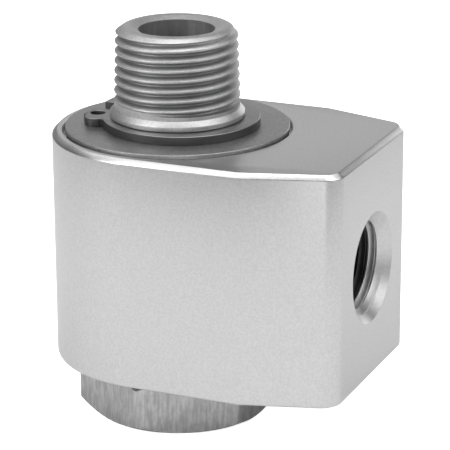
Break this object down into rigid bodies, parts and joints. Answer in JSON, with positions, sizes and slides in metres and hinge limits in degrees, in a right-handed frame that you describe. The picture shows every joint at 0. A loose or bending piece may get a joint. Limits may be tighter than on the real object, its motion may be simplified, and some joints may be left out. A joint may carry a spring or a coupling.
{
  "type": "right-angle pipe swivel joint",
  "caption": "Right-angle high-pressure pipe swivel: block body with a threaded side port, and a hollow shaft on ball races with a tapered male thread and a hexagon.",
  "frame": {"origin": "centre of the hexagon's lower face, on the shaft's axis", "axes": "+Z along the shaft towards the male thread, +X out of the side port, +Y to the left of it"},
  "size_m": [0.0446, 0.0336, 0.0532],
  "materials": {
    "housing_steel": "satin",
    "shaft_steel": "machined",
    "cover_steel": "satin",
    "circlip_steel": "satin",
    "ring_steel": "turned",
    "race_steel": "ground",
    "cage_plastic": "moulded",
    "packing_plastic": "machined",
    "packing_rubber": "matt"
  },
  "bodies": {
    "housing": {"housing": "housing_steel", "lantern_ring": "ring_steel", "upper_outer_race": "race_steel", "upper_race_shield": "ring_steel", "upper_seal_washer": "ring_steel", "upper_seal_back_ring": "packing_plastic", "upper_seal_v_ring": "packing_rubber", "upper_seal_head_ring": "packing_plastic", "lower_outer_race": "race_steel", "lower_race_shield": "ring_steel", "lower_seal_washer": "ring_steel", "lower_seal_back_ring": "packing_plastic", "lower_seal_v_ring": "packing_rubber", "lower_seal_head_ring": "packing_plastic"},
    "shaft": {"shaft": "shaft_steel", "cover_disc": "cover_steel", "shaft_circlip": "circlip_steel", "upper_inner_race": "race_steel", "lower_inner_race": "race_steel"},
    "upper_ball_set": {"upper_balls": "race_steel", "upper_ball_cage": "cage_plastic"},
    "lower_ball_set": {"lower_balls": "race_steel", "lower_ball_cage": "cage_plastic"}
  },
  "joints": [
    {"name": "shaft_spin", "type": "hinge", "parent": "housing", "child": "shaft", "pos_m": [0, 0, 0.02315], "axis": [0, 0, 1], "continuous": true},
    {"name": "upper_balls_roll", "type": "hinge", "parent": "housing", "child": "upper_ball_set", "pos_m": [0, 0, 0.02315], "axis": [0, 0, 1], "continuous": true},
    {"name": "lower_balls_roll", "type": "hinge", "parent": "housing", "child": "lower_ball_set", "pos_m": [0, 0, 0.02315], "axis": [0, 0, 1], "continuous": true}
  ],
  "couplings": [
    {"joint": "upper_balls_roll", "follows": "shaft_spin", "ratio": 0.4271},
    {"joint": "lower_balls_roll", "follows": "shaft_spin", "ratio": 0.4271}
  ]
}
